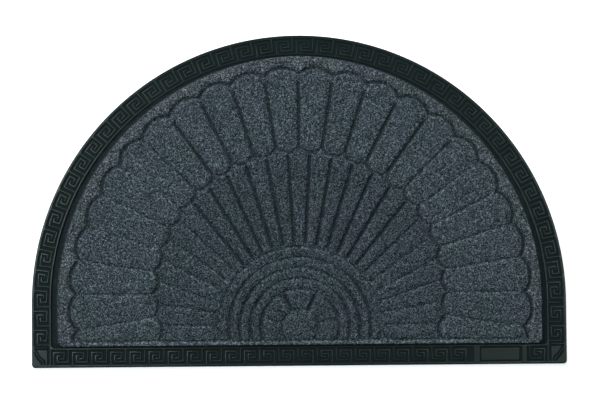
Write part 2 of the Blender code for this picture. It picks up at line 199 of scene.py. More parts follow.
# The pile: tufts of short fibres that lie about in every direction. It thins out
# between two shares of the way up the carpet's edge, and between two shares of a
# groove's half width.
TUFT_SPACE = 3.1 * MM
TUFT_FIBRES = 2
TUFT_SPREAD = 0.25 * MM
TUFT_TURN = 0.8
EDGE_THINS = (0.5, 1.0)
GROOVE_THINS = (0.3, 0.9)
FIBRE_LENGTH = (1.0 * MM, 1.8 * MM)
FIBRE_WIDTH = (0.32 * MM, 0.5 * MM)
FIBRE_LIFT = (0.15 * MM, 0.55 * MM)
FIBRE_SINK = 0.25 * MM
# The tones of the heathered yarn, each with its colour and its seed.
PILE_TONES = [
    ("pile_black", (0.006, 0.009, 0.012), 11),
    ("pile_slate", (0.026, 0.038, 0.046), 12),
    ("pile_grey", (0.103, 0.131, 0.148), 13),
    ("pile_pale", (0.245, 0.280, 0.300), 14),
]
TONE_VARIES = 0.25
PILE_ROUGH, PILE_SHINE = 0.85, 0.2

# Materials drift between two colours, over this range of a cloud of noise. Noise
# is given as (scale per metre, detail), and bump as (strength, distance).
CLOUD_RANGE = (0.3, 0.7)
RUBBER_CLOUDS, RUBBER_PATCHES, RUBBER_GRAIN = (22, 4), (160, 3), (1100, 3)
FELT_CLOUDS, FELT_GRAIN, PILE_CLOUDS = (16, 3), (900, 3), (60, 3)
RUBBER_BUMP, FELT_BUMP = (0.25, 0.1 * MM), (0.8, 0.4 * MM)

# The rubber, in its recesses and where it is raised.
RUBBER_DEEP = [(0.0025, 0.007, 0.007), (0.004, 0.010, 0.010)]
RUBBER_HIGH = [(0.001, 0.006, 0.006), (0.002, 0.009, 0.009)]
RUBBER_ROUGH, ROUGH_VARIES, RAISED_SMOOTHER = 0.90, 0.10, 0.56
RUBBER_SHINE = 0.5

# The felt under the pile: specks of two sizes in the yarn's tones, and the share
# of the finer ones. They are tinted by clouds and by the part of the fan.
FELT_SPECKS = [
    (0.0, (0.0045, 0.0066, 0.0094)),
    (0.4, (0.0143, 0.0215, 0.0280)),
    (0.6, (0.0594, 0.0820, 0.0960)),
    (0.8, (0.1310, 0.1630, 0.1840)),
    (1.0, (0.3110, 0.3520, 0.3740)),
]
COARSE_SPECK, FINE_SPECK, FINE_SHARE = 1.4 * MM, 0.7 * MM, 0.25
FELT_TINTS = [(0.80, 0.94, 0.87), (0.93, 0.95, 1.0)]
FELT_ROUGH, FELT_SHINE = 0.95, 0.15
# The parts are 0 within the petals' feet, 0.5 on the petals, 1 on the plain felt
# round the fan, and a share of their own on the plain strip.
FAN_PARTS = [(0.0, (0.57, 0.58, 0.61)), (0.5, (0.75, 0.73, 0.77)), (1.0, (1.0, 0.91, 0.92))]
STRIP_PART = 0.6
# Felt that is pressed hard, and how far a groove and all pressed felt come to it. The
# darkening is partly the pressed felt's own tone and partly painted shade in the grooves and on the
# carpet's low skirt.
PRESSED_AND_SHADED_TONE = (0.007, 0.011, 0.013, 1)
GROOVE_DARK_AND_SHADE, PRESSED_DARK_AND_SHADE = 0.88, 0.95

# The map for baked textures: its margin, and the underside's size and start in it.
MAP_MARGIN = 0.01
UNDERSIDE_SCALE, UNDERSIDE_START = 0.5, 0.66

# The lights, as (name, place, size, power): a large lamp that leaves no highlight,
# and two cool panels that shine on the edges of the raised rubber.
MAIN_LAMP = ("lamp_far", (-0.7, 2.6, 1.7), 1.4, 135)
SIDE_PANELS = [
    ("panel_left", (-1.0, 0.10, 1.6), 0.6, 13.0),
    ("panel_right", (0.95, 0.10, 1.6), 0.6, 7.0),
]
WHITE, COOL = (1, 1, 1), (0.88, 1.0, 1.0)
FLOOR_TONE, FLOOR_ROUGH = (0.9, 0.9, 0.9, 1), 0.9
FLOOR_SIZE, FLOOR_GLOW, SURROUND_LIGHT = 12, 0.5, 0.08

# The camera, almost straight above the mat's middle and turned a little.
CAMERA_PLACE = (2.4 * MM, -44.7 * MM, 1.6)
CAMERA_TILT, CAMERA_ROLL = 1.503, -0.496
CAMERA_LENS = 68.108

# Lengths under this are taken as nothing, and points this near become one.
TINY, MERGED = 1e-9, 1e-7
# The least that one and the cosine of a corner's turn add up to, so that the
# mitre of a sharp corner stays short.
MITRE_LIMIT = 0.4


# ---------------------------------------------------------------- outlines


def arc_points(centre, radius, start, end, steps):
    """Points on an arc between two angles in degrees, clockwise from +Y."""
    if not steps:
        return [centre]
    turn = [math.radians(start + (end - start) * i / steps) for i in range(steps + 1)]
    return [(centre[0] + radius * math.sin(a), centre[1] + radius * math.cos(a)) for a in turn]


def on_loop(s, d):
    """A place on the border of the left side, the arc and the right side."""
    if s > LOOP_LENGTH / 2:
        x, y = on_loop(LOOP_LENGTH - s, d)
        return -x, y
    if s < SIDE:
        return d - ARC_RADIUS, EDGE_Y + s
    angle = (s - SIDE) / KEY_RADIUS
    reach = ARC_RADIUS - d
    return -reach * math.cos(angle), ARC_Y + reach * math.sin(angle)


def on_bottom(s, d):
    """A place on the straight border; s is x."""
    return s, EDGE_Y + d


def key_units():
    """Every key unit as (border, start, pitch); a negative pitch mirrors it."""
    units = []
    last_side = FIRST_SIDE_UNIT + SIDE_UNITS * STRAIGHT_PITCH
    arc_pitch = (LOOP_LENGTH - 2 * last_side) / ARC_UNITS
    for i in range(SIDE_UNITS):
        start = FIRST_SIDE_UNIT + i * STRAIGHT_PITCH
        units.append((on_loop, start, STRAIGHT_PITCH))
        units.append((on_loop, LOOP_LENGTH - start, -STRAIGHT_PITCH))
    for i in range(ARC_UNITS):
        units.append((on_loop, last_side + i * arc_pitch, arc_pitch))
    for i in range(BOTTOM_UNITS):
        units.append((on_bottom, BOTTOM_MIDDLE_X - i * STRAIGHT_PITCH, -STRAIGHT_PITCH))
        units.append((on_bottom, BOTTOM_MIDDLE_X + i * STRAIGHT_PITCH, STRAIGHT_PITCH))
    units.append((on_bottom, LAST_UNIT_X, STRAIGHT_PITCH))
    return units


def half_round(inset, corner):
    """The mat's D outline, moved inwards, with rounded lower corners."""
    side_x = ARC_RADIUS - inset
    low_y = EDGE_Y + inset
    steps = CORNER_STEPS if corner else 0
    left = arc_points((corner - side_x, low_y + corner), corner, 180, 270, steps)
    right = arc_points((side_x - corner, low_y + corner), corner, 90, 180, steps)
    space = STRAIGHT_PITCH / POINTS_A_UNIT
    count = round((LOOP_LENGTH - 2 * (inset + corner)) / space)
    loop = [on_loop(inset + corner + (i + 0.5) * space, inset) for i in range(count - 1)]
    across = round(2 * (side_x - corner) / space)
    bottom = [((side_x - corner) * (1 - 2 * i / across), low_y) for i in range(1, across)]
    return left + loop + right + bottom


def ribbon(points, width):
    """The outline of a bent line of constant width, with mitred corners."""
    points = [Vector(p) for p in points]
    steps = [(b - a).normalized() for a, b in zip(points, points[1:])]
    normals = [Vector((-t.y, t.x)) for t in steps]
    left, right = [], []
    for i, point in enumerate(points):
        before = normals[max(i - 1, 0)]
        after = normals[min(i, len(normals) - 1)]
        mitre = (before + after) / (1 + before.dot(after)) * (width / 2)
        left.append(point + mitre)
        right.append(point - mitre)
    return left + right[::-1]


def box(x_range, y_range):
    """A rectangle's outline."""
    (x0, x1), (y0, y1) = x_range, y_range
    return [(x0, y0), (x1, y0), (x1, y1), (x0, y1)]


def anticlockwise(outline):
    """The outline, turned round if it runs clockwise."""
    pairs = zip(outline, outline[1:] + outline[:1])
    area = sum(a[0] * b[1] - b[0] * a[1] for a, b in pairs)
    return outline if area > 0 else outline[::-1]


def grown(outline, distance):
    """An anticlockwise outline moved outwards, with mitred corners."""
    points = [Vector(p) for p in outline]
    moved = []
    for before, point, after in zip(points[-1:] + points[:-1], points, points[1:] + points[:1]):
        one, other = (point - before).normalized(), (after - point).normalized()
        normals = Vector((one.y, -one.x)), Vector((other.y, -other.x))
        mitre = (normals[0] + normals[1]) / max(1 + normals[0].dot(normals[1]), MITRE_LIMIT)
        moved.append(point + mitre * distance)
    return moved


# ------------------------------------------------------------ measurements


def eased(share):
    """A share from 0 to 1 that starts and ends gently."""
    share = np.clip(share, 0, 1)
    return share * share * (3 - 2 * share)


def profile(distance, table):
    """Interpolate a (distance, height) table, in millimetres, for an array in metres."""
    far, high = zip(*table)
    return np.interp(distance / MM, far, high)


def edge_inset(places):
    """How far places lie inside the mat's outer edge."""
    x, y = np.abs(places[:, 0]), places[:, 1]
    side, low = ARC_RADIUS - x, y - EDGE_Y
    radial = ARC_RADIUS - np.hypot(x, y - ARC_Y)
    straight = np.minimum(side, low)
    rounded = OUTER_CORNER - np.hypot(OUTER_CORNER - side, OUTER_CORNER - low)
    in_corner = (side < OUTER_CORNER) & (low < OUTER_CORNER)
    return np.where(y > ARC_Y, radial, np.where(in_corner, rounded, straight))


def signed_distance(places, outline):
    """How far places lie outside a closed outline, negative inside."""
    gap = np.full(len(places), np.inf)
    inside = np.zeros(len(places), bool)
    corners = [np.array(p) for p in outline]
    for a, b in zip(corners, corners[1:] + corners[:1]):
        run = b - a
        share = np.clip((places - a) @ run / max(run @ run, TINY ** 2), 0, 1)
        gap = np.minimum(gap, np.hypot(*(places - a - share[:, None] * run).T))
        crosses = (a[1] > places[:, 1]) != (b[1] > places[:, 1])
        height = np.where(crosses, b[1] - a[1], 1.0)
        inside ^= crosses & (places[:, 0] < a[0] + (places[:, 1] - a[1]) / height * run[0])
    return np.where(inside, -gap, gap)


# ------------------------------------------------------------------- meshes


def cut_plane(outlines, points):
    """Triangulate outlines and points together, within the first outline."""
    places, loops = [Vector(p) for p in points], []
    for outline in outlines:
        loops.append(list(range(len(places), len(places) + len(outline))))
        places += [Vector(p) for p in anticlockwise(outline)]
    found, _, triangles, _, _, covers = delaunay_2d_cdt(places, [], loops, 1, MERGED)
    first = [t for t, cover in zip(triangles, covers) if 0 in cover]
    used = sorted({i for t in first for i in t})
    place_of = {i: n for n, i in enumerate(used)}
    return np.array([found[i] for i in used]), [[place_of[i] for i in t] for t in first]


def rim_of(triangles):
    """The points round the edge of a triangulated area, anticlockwise."""
    sides = {side for a, b, c in triangles for side in ((a, b), (b, c), (c, a))}
    follows = {a: b for a, b in sides if (b, a) not in sides}
    rim = [min(follows)]
    while follows[rim[-1]] != rim[0]:
        rim.append(follows[rim[-1]])
    return rim


def new_piece(name, corners, faces):
    """An object with a mesh of these corners and faces."""
    data = bpy.data.meshes.new(name)
    data.from_pydata(corners.tolist(), [], faces)
    item = bpy.data.objects.new(name, data)
    bpy.context.scene.collection.objects.link(item)
    return item


def relief_body(name, places, heights, triangles, bottom_z):
    """A closed body: a relief, a wall down its edge, a bevel at its foot and a flat underside."""
    rings = [rim_of(triangles)]
    corners = [np.column_stack([places, heights])]
    edge, count = places[rings[0]], len(rings[0])
    for z, inwards in ((bottom_z + MOULD_FOOT, 0), (bottom_z, MOULD_FOOT)):
        start = len(places) + count * (len(rings) - 1)
        rings.append(list(range(start, start + count)))
        corners.append(np.column_stack([edge * (1 - inwards / ARC_RADIUS), np.full(count, z)]))
    faces = list(triangles)
    for upper, lower in zip(rings, rings[1:]):
        faces += [(upper[i - 1], lower[i - 1], lower[i], upper[i]) for i in range(count)]
    faces.append(rings[-1][::-1])
    return new_piece(name, np.concatenate(corners), faces)


def add_share(item, name, shares):
    """Keep a number from 0 to 1 for each point of a mesh, for its material."""
    layer = item.data.attributes.new(name, "FLOAT", "POINT")
    layer.data.foreach_set("value", np.clip(shares, 0, 1).astype(np.float32))


def flat_map(item):
    """A texture map as seen from above, with the underside smaller and set apart."""
    data = item.data
    normals = np.empty(3 * len(data.polygons))
    data.polygons.foreach_get("normal", normals)
    sides = [len(face.vertices) for face in data.polygons]
    downwards = normals[2::3] < -0.5
    under = np.repeat(downwards, sides)[:, None]
    corner_of = np.empty(len(data.loops), int)
    data.loops.foreach_get("vertex_index", corner_of)
    places = np.empty(3 * len(data.vertices))
    data.vertices.foreach_get("co", places)
    seen = (places.reshape(-1, 3)[corner_of, :2] + (ARC_RADIUS, -EDGE_Y)) / (2 * ARC_RADIUS)
    spots = np.where(under, seen * UNDERSIDE_SCALE + (0, UNDERSIDE_START), seen)
    layer = data.uv_layers.new(name="OFBake")
    layer.data.foreach_set("uv", (MAP_MARGIN + (1 - 2 * MAP_MARGIN) * spots).ravel())


def smooth(item, angle):
    """Shade smooth, with edges over this many degrees left sharp."""
    item.data.shade_smooth()
    item.data.set_sharp_from_angle(angle=math.radians(angle))


# ----------------------------------------------------------------- the tray


def unit_lines(place, start, pitch):
    """The outlines of one unit's two lines."""
    depth = KEY_END - RIM
    outlines = []
    for line in (BAND_LINE, RIM_LINE):
        lap = math.copysign(LINE_LAP, line[0][1] - 0.5)
        points = [(u * pitch, RIM + v * depth) for u, v in line]
        points[0] = (points[0][0], points[0][1] + lap)
        outlines.append([place(start + s, d) for s, d in ribbon(points, LINE_WIDTH)])
    return outlines


def key_lines():
    """All raised lines of the key border, and the bar that ends the arc's run."""
    lines = [line for unit in key_units() for line in unit_lines(*unit)]
    end = LOOP_LENGTH - FIRST_SIDE_UNIT - SIDE_UNITS * STRAIGHT_PITCH
    bar = ribbon([(end, KEY_END + LINE_LAP), (end, RIM + 2 * LINE_WIDTH)], LINE_WIDTH)
    return lines + [[on_loop(s, d) for s, d in bar]]


def plaque_shapes():
    """The bare plaque and the bars at its ends."""
    across = (EDGE_Y + RIM - LINE_LAP, EDGE_Y + KEY_END + LINE_LAP)
    shapes = [box(bar, across) for bar in PLAQUE_BARS]
    shapes.append(box(PLAQUE_X, tuple(EDGE_Y + d for d in PLAQUE_D)))
    return shapes


def corner_shapes(side):
    """The motif in one lower corner, broad shapes first; side is -1 at the left, 1 at the right."""
    in_metres = [
        [(p * MM, q * MM) for p, q in CORNER_LEAF + CORNER_LEAF_FOOT],
        [(p * MM, q * MM) for p, q in CORNER_BASE],
        [(p * MM, q * MM) for p, q in CORNER_POST],
        ribbon([(p * MM, q * MM) for p, q in CORNER_VEIN], LINE_WIDTH),
        ribbon([(p * MM, q * MM) for p, q in CORNER_BAR], CORNER_BAR_WIDTH),
    ]
    return [[(side * (ARC_RADIUS - p), EDGE_Y + q) for p, q in shape] for shape in in_metres]


def tray_heights(places, raised):
    """The tray's height at each place."""
    heights = profile(edge_inset(places), BORDER_PROFILE)
    floor = half_round(BAND_END, BAND_CORNER)
    heights = np.minimum(heights, profile(-signed_distance(places, floor), BAND_PROFILE)) * MM
    reach = LINE_PROFILE[-1][0] * MM
    for outline in raised:
        corners = np.array(outline)
        low, high = corners.min(0) - reach, corners.max(0) + reach
        near = np.flatnonzero(((places >= low) & (places <= high)).all(1))
        share = profile(signed_distance(places[near], outline), LINE_PROFILE)
        heights[near] = np.maximum(heights[near], GROUND_Z + share * LINE_HEIGHT)
    return heights


def moulded_tray():
    """The rubber tray, with rounded key lines, rim, band and corner motifs."""
    plaque, left, right = plaque_shapes(), corner_shapes(-1), corner_shapes(1)
    broad = plaque + left[:2] + right[:2]
    raised = key_lines() + plaque + left + right
    raised = [anticlockwise([tuple(p) for p in outline]) for outline in raised]
    outlines = [half_round(0, OUTER_CORNER)]
    for inset, _ in BORDER_PROFILE[1:-1]:
        outlines.append(half_round(inset * MM, max(OUTER_CORNER - inset * MM, 0)))
    for inset, _ in BAND_PROFILE:
        outlines.append(half_round(BAND_END + inset * MM, BAND_CORNER - inset * MM))
    outlines += [grown(outline, step * MM) for outline in raised for step, _ in LINE_PROFILE]
    outlines += [grown(anticlockwise(outline), -FLAT_TOP) for outline in broad]
    places, triangles = cut_plane(outlines, [])
    heights = tray_heights(places, raised)
    item = relief_body("moulded_tray", places, heights, triangles, TRAY_LOW.z)
    high = np.array([v.co.z for v in item.data.vertices])
    add_share(item, "raised", (high - GROUND_Z) / LINE_HEIGHT)
    smooth(item, TRAY_CREASE)
    return item


# --------------------------------------------------------------- the carpet


def fan_point(angle, radius, centre=(FAN_X, FAN_Y)):
    """A point at an angle and a distance from the petals' centre, or the rings'."""
    turn = math.radians(angle)
    return centre[0] + radius * math.sin(turn), centre[1] + FAN_SQUASH * radius * math.cos(turn)


def fan_place(places):
    """The angle and the distance of places from the petals' centre."""
    x, y = places[:, 0] - FAN_X, (places[:, 1] - FAN_Y) / FAN_SQUASH
    return np.degrees(np.arctan2(x, y)), np.hypot(x, y)


def scallop_radius(angle):
    """How far the petals reach at an angle: round ends between cusps."""
    share = (angle / PETAL_ANGLE) % 1
    bulge = math.sin(math.pi * share) ** SCALLOP_POWER
    longer = LONGER_A_DEGREE * max(abs(angle) - LONGER_FROM, 0)
    return PETAL_REACH + longer - SCALLOP * (1 - bulge)


def foot_radius(angle):
    """Where the petals end inwards: a shallower round end."""
    share = (angle / PETAL_ANGLE) % 1
    return PETAL_FOOT - FOOT_BULGE * math.sin(math.pi * share) ** FOOT_POWER


def spaced(start, end, step):
    """Points at even steps along a straight line."""
    a, b = Vector(start), Vector(end)
    count = max(1, round((b - a).length / step))
    return [tuple(a.lerp(b, i / count)) for i in range(count + 1)]


def ray_line(angle, step):
    """A ray from a petal's foot to the rings; the lower it lies, the more it is lifted."""
    upright = math.cos(math.radians(angle))
    lift = RAY_LIFT * min(1 - upright, 1) ** 2
    x, y = fan_point(angle, foot_radius(angle) - RAY_SHORT)
    aim = FAN_X, RING_Y - RAY_DROP * math.sqrt(max(upright, 0)) + lift
    ray = spaced((x, y + lift), aim, step)
    return [p for p in ray if math.dist(p, (RING_X, RING_Y)) > RINGS[0] + RAY_GAP]


def runs_above(line, y):
    """The unbroken runs of a line's points that lie above y."""
    runs = [[]]
    for point in line:
        if point[1] > y:
            runs[-1].append(point)
        elif runs[-1]:
            runs.append([])
    return runs


def groove_lines(step):
    """Every groove of the fan, as points about step apart, with its range of firmness."""
    lines = []
    reach = PETAL_ANGLE * PETALS_A_SIDE
    count = round(2 * math.radians(reach) * PETAL_REACH / step)
    angles = [reach * (2 * i / count - 1) for i in range(count + 1)]
    lines.append(([fan_point(a, scallop_radius(a)) for a in angles], SCALLOP_PRESS))
    lines.append(([fan_point(a, foot_radius(a)) for a in angles], FOOT_PRESS))
    for n in range(-PETALS_A_SIDE, PETALS_A_SIDE + 1):
        angle = n * PETAL_ANGLE
        ends = fan_point(angle, PETAL_FOOT), fan_point(angle, scallop_radius(angle) - SIDE_SHORT)
        lines.append((spaced(*ends, step), OTHER_PRESS))
    centre = RING_X, RING_Y
    for n in range(-PETALS_A_SIDE, PETALS_A_SIDE):
        angle = (n + 0.5) * PETAL_ANGLE
        lines.append((ray_line(angle, step), OTHER_PRESS))
    presses = [OUTER_RING_PRESS] + [RING_PRESS] * (len(RINGS) - 1) + [DISC_PRESS]
    for radius, press in zip(RINGS + [DISC], presses):
        steps = round(2 * math.pi * radius / step)
        circle = [fan_point(360 * i / steps, radius, centre) for i in range(steps + 1)]
        lines.append((circle, press))
    for angle in ROSETTE_ANGLES:
        ends = [fan_point(angle, radius, centre) for radius in (DISC, RINGS[-1])]
        lines.append((spaced(*ends, step), OTHER_PRESS))
    lines = [(p, press) for line, press in lines for p in runs_above(line, FIELD_BOTTOM_Y)]
    straight = spaced((-FIELD_HALF_WIDTH, FIELD_BOTTOM_Y), (FIELD_HALF_WIDTH, FIELD_BOTTOM_Y), step)
    lines.append((straight, OTHER_PRESS))
    return [(line, press) for line, press in lines if len(line) > 2]


def along_grain(run):
    """How far a direction lies along the felt's grain: 0 across it and 1 along it."""
    across, along = GRAIN_RANGE
    return eased((abs(run.normalized().y) - across) / (along - across))


def groove_tree():
    """A search tree over all grooves, and how firmly each of its points is pressed."""
    points, firm = [], []
    for line, (across, along) in groove_lines(GROOVE_STEP):
        for i, point in enumerate(line):
            run = Vector(line[min(i + 1, len(line) - 1)]) - Vector(line[max(i - 1, 0)])
            points.append((*point, 0))
            firm.append(across + (along - across) * along_grain(run))
    tree = KDTree(len(points))
    for i, point in enumerate(points):
        tree.insert(point, i)
    tree.balance()
    return tree, np.array(firm)


GROOVES, FIRMNESS = groove_tree()


def nearest_groove(places):
    """How far each place lies from the middle of the nearest groove, and that one's firmness."""
    found = [GROOVES.find((x, y, 0))[1:] for x, y in places]
    index, distance = zip(*found)
    return np.array(distance), FIRMNESS[list(index)]


def groove_distance(places):
    """How far each place lies from the middle of the nearest groove."""
    return nearest_groove(places)[0]


def carpet_inset(places, at_ends, at_sides):
    """How far places lie inside a D outline that stands in by at_ends, and by at_sides more
    at the sides."""
    x, y = np.abs(places[:, 0]), places[:, 1]
    reach = np.hypot(x, y - ARC_Y)
    sideways = np.where(y > ARC_Y, x / np.maximum(reach, TINY), 1.0)
    radial = ARC_RADIUS - reach - at_ends - at_sides * sideways
    side, low = ARC_RADIUS - x - at_ends - at_sides, y - EDGE_Y - at_ends
    rounded = CARPET_CORNER - np.hypot(CARPET_CORNER - side, CARPET_CORNER - low)
    in_corner = (side < CARPET_CORNER) & (low < CARPET_CORNER)
    straight = np.where(in_corner, rounded, np.minimum(side, low))
    return np.where(y > ARC_Y, np.minimum(radial, low), straight)


def past_shoulder(places):
    """How far places lie inside the shoulder, which is centred on the fan."""
    return carpet_inset(places - (FAN_X, 0), SHOULDER, SHOULDER_SIDE_GAP)


def rise(places):
    """The share of the way up the carpet's edge: 0 on its skirt and 1 from its shoulder in."""
    foot = carpet_inset(places, CARPET_FOOT, FOOT_SIDE_GAP)
    share = foot / np.maximum(foot - past_shoulder(places), TINY)
    return eased((share - SKIRT_SHARE) / (1 - SKIRT_SHARE))


def dip(distance, floor, half_width):
    """1 over a groove's floor, falling smoothly to 0 at its half width."""
    return 0.5 + 0.5 * np.cos(np.pi * np.clip((distance - floor) / (half_width - floor), 0, 1))


def waves(places):
    """The slight unevenness of a pressed felt."""
    waving = [noise.noise((x / WAVE_LENGTH, y / WAVE_LENGTH, 0)) for x, y in places]
    return np.array(waving) * WAVE_HEIGHT


def groove_press(distance, firm):
    """How far down a groove presses the felt near it, 0 to 1; a less firm one is narrower too."""
    return firm * dip(distance, PRESS_FLOOR * firm, PRESS_HALF * (1 + firm) / 2)


def carpet_heights(places):
    """The felt's height at each place."""
    distance, firm = nearest_groove(places)
    pressed = PRESS_DEPTH * groove_press(distance, firm) + HOLLOW_DEPTH * dip(distance, 0, HOLLOW_HALF)
    top = CARPET_TOP_Z - WAVE_HEIGHT + waves(places) - pressed
    return CARPET_EDGE_Z + (top - CARPET_EDGE_Z) * rise(places)


def carpet_outline(share):
    """The outline at a share of the way from the carpet's foot to its shoulder."""
    ends = CARPET_FOOT + (SHOULDER - CARPET_FOOT) * share
    sides = FOOT_SIDE_GAP + (SHOULDER_SIDE_GAP - FOOT_SIDE_GAP) * share
    moved = []
    for x, y in half_round(ends, CARPET_CORNER):
        across = max(y - ARC_Y, 0)
        moved.append((x * (1 - sides / math.hypot(x, across)) + FAN_X * share if x else x, y))
    return moved


def row_points():
    """Points in rows beside every groove, from the middle outwards."""
    points = []
    for offset in ROW_OFFSETS:
        for line, _ in groove_lines(ROW_SPACE):
            for before, after in zip(line, line[1:]):
                middle = (Vector(before) + Vector(after)) / 2
                along = (Vector(after) - Vector(before)).normalized()
                across = Vector((-along.y, along.x)) * offset
                points += [middle + across, middle - across] if offset else [middle]
    return np.array(points)


def grid_points(space, random):
    """A slightly shaken triangular grid over the whole mat."""
    rows = int((TRAY_HIGH.y - EDGE_Y) / (space * GRID_ROW))
    columns = int(2 * ARC_RADIUS / space)
    row, column = np.divmod(np.arange(rows * columns), columns)
    x = (column + 0.5 * (row % 2)) * space - ARC_RADIUS
    y = row * space * GRID_ROW + EDGE_Y
    return np.stack([x, y], 1) + random.uniform(-GRID_SHAKE, GRID_SHAKE, (len(x), 2)) * space


def thinned(points, space):
    """The points, without those that lie closer than space to an earlier one."""
    taken, kept = {}, []
    for x, y in points:
        column, row = int(x // space), int(y // space)
        near = [taken.get((column + i, row + j)) for i in (-1, 0, 1) for j in (-1, 0, 1)]
        if all(p is None or math.hypot(p[0] - x, p[1] - y) >= space for p in near):
            taken[column, row] = (x, y)
            kept.append((x, y))
    return kept


def fan_part(places):
    """The part of the fan that each place lies in, as in FAN_PARTS."""
    angles, reaches = fan_place(places)
    past_foot = [foot_radius(a) < r for a, r in zip(angles, reaches)]
    past_petal = [scallop_radius(a) < r for a, r in zip(angles, reaches)]
    part = (np.array(past_foot, float) + past_petal) / 2
    return np.where(places[:, 1] < FIELD_BOTTOM_Y, STRIP_PART, part)


def felt_carpet():
    """The carpet, pressed into the fan, with a soft shoulder round its edge."""
    rows = row_points()
    fill = grid_points(FILL_SPACE, np.random.default_rng(FILL_SEED))
    fill = fill[groove_distance(fill) > ROW_OFFSETS[-1] + FILL_SPACE / 2]
    points = np.concatenate([rows, fill])
    points = points[past_shoulder(points) > FILL_SPACE / 3]
    outlines = [carpet_outline(share) for share in EDGE_SHARES]
    places, triangles = cut_plane(outlines, thinned(points, CLEAR_SPACE))
    heights = carpet_heights(places)
    item = relief_body("felt_carpet", places, heights, triangles, CARPET_BOTTOM_Z)
    places = np.array([v.co.xy for v in item.data.vertices])
    distance, firm = nearest_groove(places)
    # The felt's darkening: partly its pressed fibres, partly painted shade in the grooves and on the
    # skirt below the shoulder.
    pressed = GROOVE_DARK_AND_SHADE * groove_press(distance, firm) * firm ** 2
    add_share(item, "pressed", np.maximum(pressed, 1 - rise(places)))
    add_share(item, "outward", fan_part(places))
    smooth(item, CARPET_CREASE)
    return item


# ----------------------------------------------------------------- the pile


def tufts(random):
    """Where the fibres of a tone stand, and which way each one lies, as an angle."""
    roots = grid_points(TUFT_SPACE, random) + random.uniform(-0.5, 0.5, 2) * TUFT_SPACE
    roots = roots + random.uniform(-0.5, 0.5, roots.shape) * TUFT_SPACE
    roots = roots[rise(roots) > random.uniform(*EDGE_THINS, len(roots))]
    roots = roots[groove_distance(roots) > random.uniform(*GROOVE_THINS, len(roots)) * PRESS_HALF]
    turn = np.repeat(random.uniform(0, 2 * math.pi, len(roots)), TUFT_FIBRES)
    roots = np.repeat(roots, TUFT_FIBRES, axis=0)
    roots = roots + random.uniform(-1, 1, roots.shape) * TUFT_SPREAD
    return roots, turn + random.uniform(-1, 1, len(roots)) * TUFT_TURN


def fibres(name, seed):
    """One tone of the pile, as thin closed fibres that lie on the felt."""
    random = np.random.default_rng(seed)
    roots, turn = tufts(random)
    count = len(roots)
    ahead = np.stack([np.cos(turn), np.sin(turn)], 1)
    aside = np.stack([-ahead[:, 1], ahead[:, 0]], 1)
    length = random.uniform(*FIBRE_LENGTH, (count, 1))
    width = random.uniform(*FIBRE_WIDTH, (count, 1))
    tips = roots + ahead * length
    root_z = carpet_heights(roots)
    tip_z = np.maximum(carpet_heights(tips), root_z - length[:, 0] / 2)
    lift = random.uniform(*FIBRE_LIFT, count)
    sunk_z = root_z - FIBRE_SINK + lift / 2
    corners = [
        (roots + aside * width / 2, sunk_z),
        (roots - aside * width / 2, sunk_z),
        (roots + ahead * length / 3, (2 * root_z + tip_z) / 3 + width[:, 0] + lift / 2),
        (tips, tip_z + lift),
    ]
    places = np.stack([np.column_stack(c) for c in corners], 1).reshape(-1, 3)
    faces = np.array([(0, 1, 2), (1, 3, 2), (3, 0, 2), (0, 3, 1)])
    triangles = (np.arange(count)[:, None, None] * len(corners) + faces).reshape(-1, 3)
    return new_piece(name, places, triangles.tolist())


# ---------------------------------------------------------------- materials


class Nodes:
    """A material's node tree, with short calls to add and join nodes."""

    def __init__(self, name):
        self.material = bpy.data.materials.new(name)
        self.material.use_nodes = True
        self.tree = self.material.node_tree
        self.shader = self.tree.nodes["Principled BSDF"]

    def add(self, kind, settings=None, **inputs):
        """A node, with its settings, and with inputs that are values or other nodes' sockets."""
        node = self.tree.nodes.new(kind)
        for key, value in (settings or {}).items():
            setattr(node, key, value)
        for key, value in inputs.items():
            self.put(node.inputs[key], value)
        return node

    def put(self, socket, value):
        """Join a socket to a node's output, or set its value."""
        if isinstance(value, bpy.types.NodeSocket):
            self.tree.links.new(value, socket)
        else:
            socket.default_value = value

    def noise(self, scale, detail):
        """Noise over the object, at a size of 1 / scale metres."""
        where = self.add("ShaderNodeTexCoord").outputs["Object"]
        node = self.add("ShaderNodeTexNoise", Vector=where, Scale=scale, Detail=detail)
        return node.outputs["Fac"]

    def share(self, name):
        """A number that the mesh keeps at each point."""
        return self.add("ShaderNodeAttribute", {"attribute_name": name}).outputs["Fac"]

    def specks(self, size):
        """A random number for each speck of about this size."""
        where = self.add("ShaderNodeTexCoord").outputs["Object"]
        cells = self.add("ShaderNodeTexVoronoi", Vector=where, Scale=1 / size)
        return self.add("ShaderNodeSeparateColor", Color=cells.outputs["Color"]).outputs["Red"]

    def ramp(self, factor, stops):
        """A colour ramp through (place, colour) stops."""
        node = self.add("ShaderNodeValToRGB", Fac=factor)
        band = node.color_ramp.elements
        while len(band) < len(stops):
            band.new(0.5)
        for element, (place, colour) in zip(band, stops):
            element.position = place
            element.color = (*colour, 1)
        return node.outputs["Color"]

    def clouded(self, clouds, colours):
        """A colour that drifts between two with the clouds."""
        return self.ramp(clouds, list(zip(CLOUD_RANGE, colours)))

    def math(self, operation, *values):
        """One calculation with numbers or sockets."""
        node = self.add("ShaderNodeMath", {"operation": operation})
        for socket, value in zip(node.inputs, values):
            self.put(socket, value)
        return node.outputs["Value"]

    def mix(self, factor, one, other, blend="MIX"):
        """Two colours mixed; the node's colour sockets are known by their numbers."""
        node = self.add("ShaderNodeMix", {"data_type": "RGBA", "blend_type": blend})
        for number, value in ((0, factor), (6, one), (7, other)):
            self.put(node.inputs[number], value)
        return node.outputs[2]

    def bump(self, height, strength, distance):
        """Bump from a height."""
        node = self.add("ShaderNodeBump", Height=height, Strength=strength, Distance=distance)
        self.put(self.shader.inputs["Normal"], node.outputs["Normal"])

    def gloss(self, rough, shine):
        """The roughness, and how strongly the surface shines."""
        self.put(self.shader.inputs["Roughness"], rough)
        self.put(self.shader.inputs["Specular IOR Level"], shine)


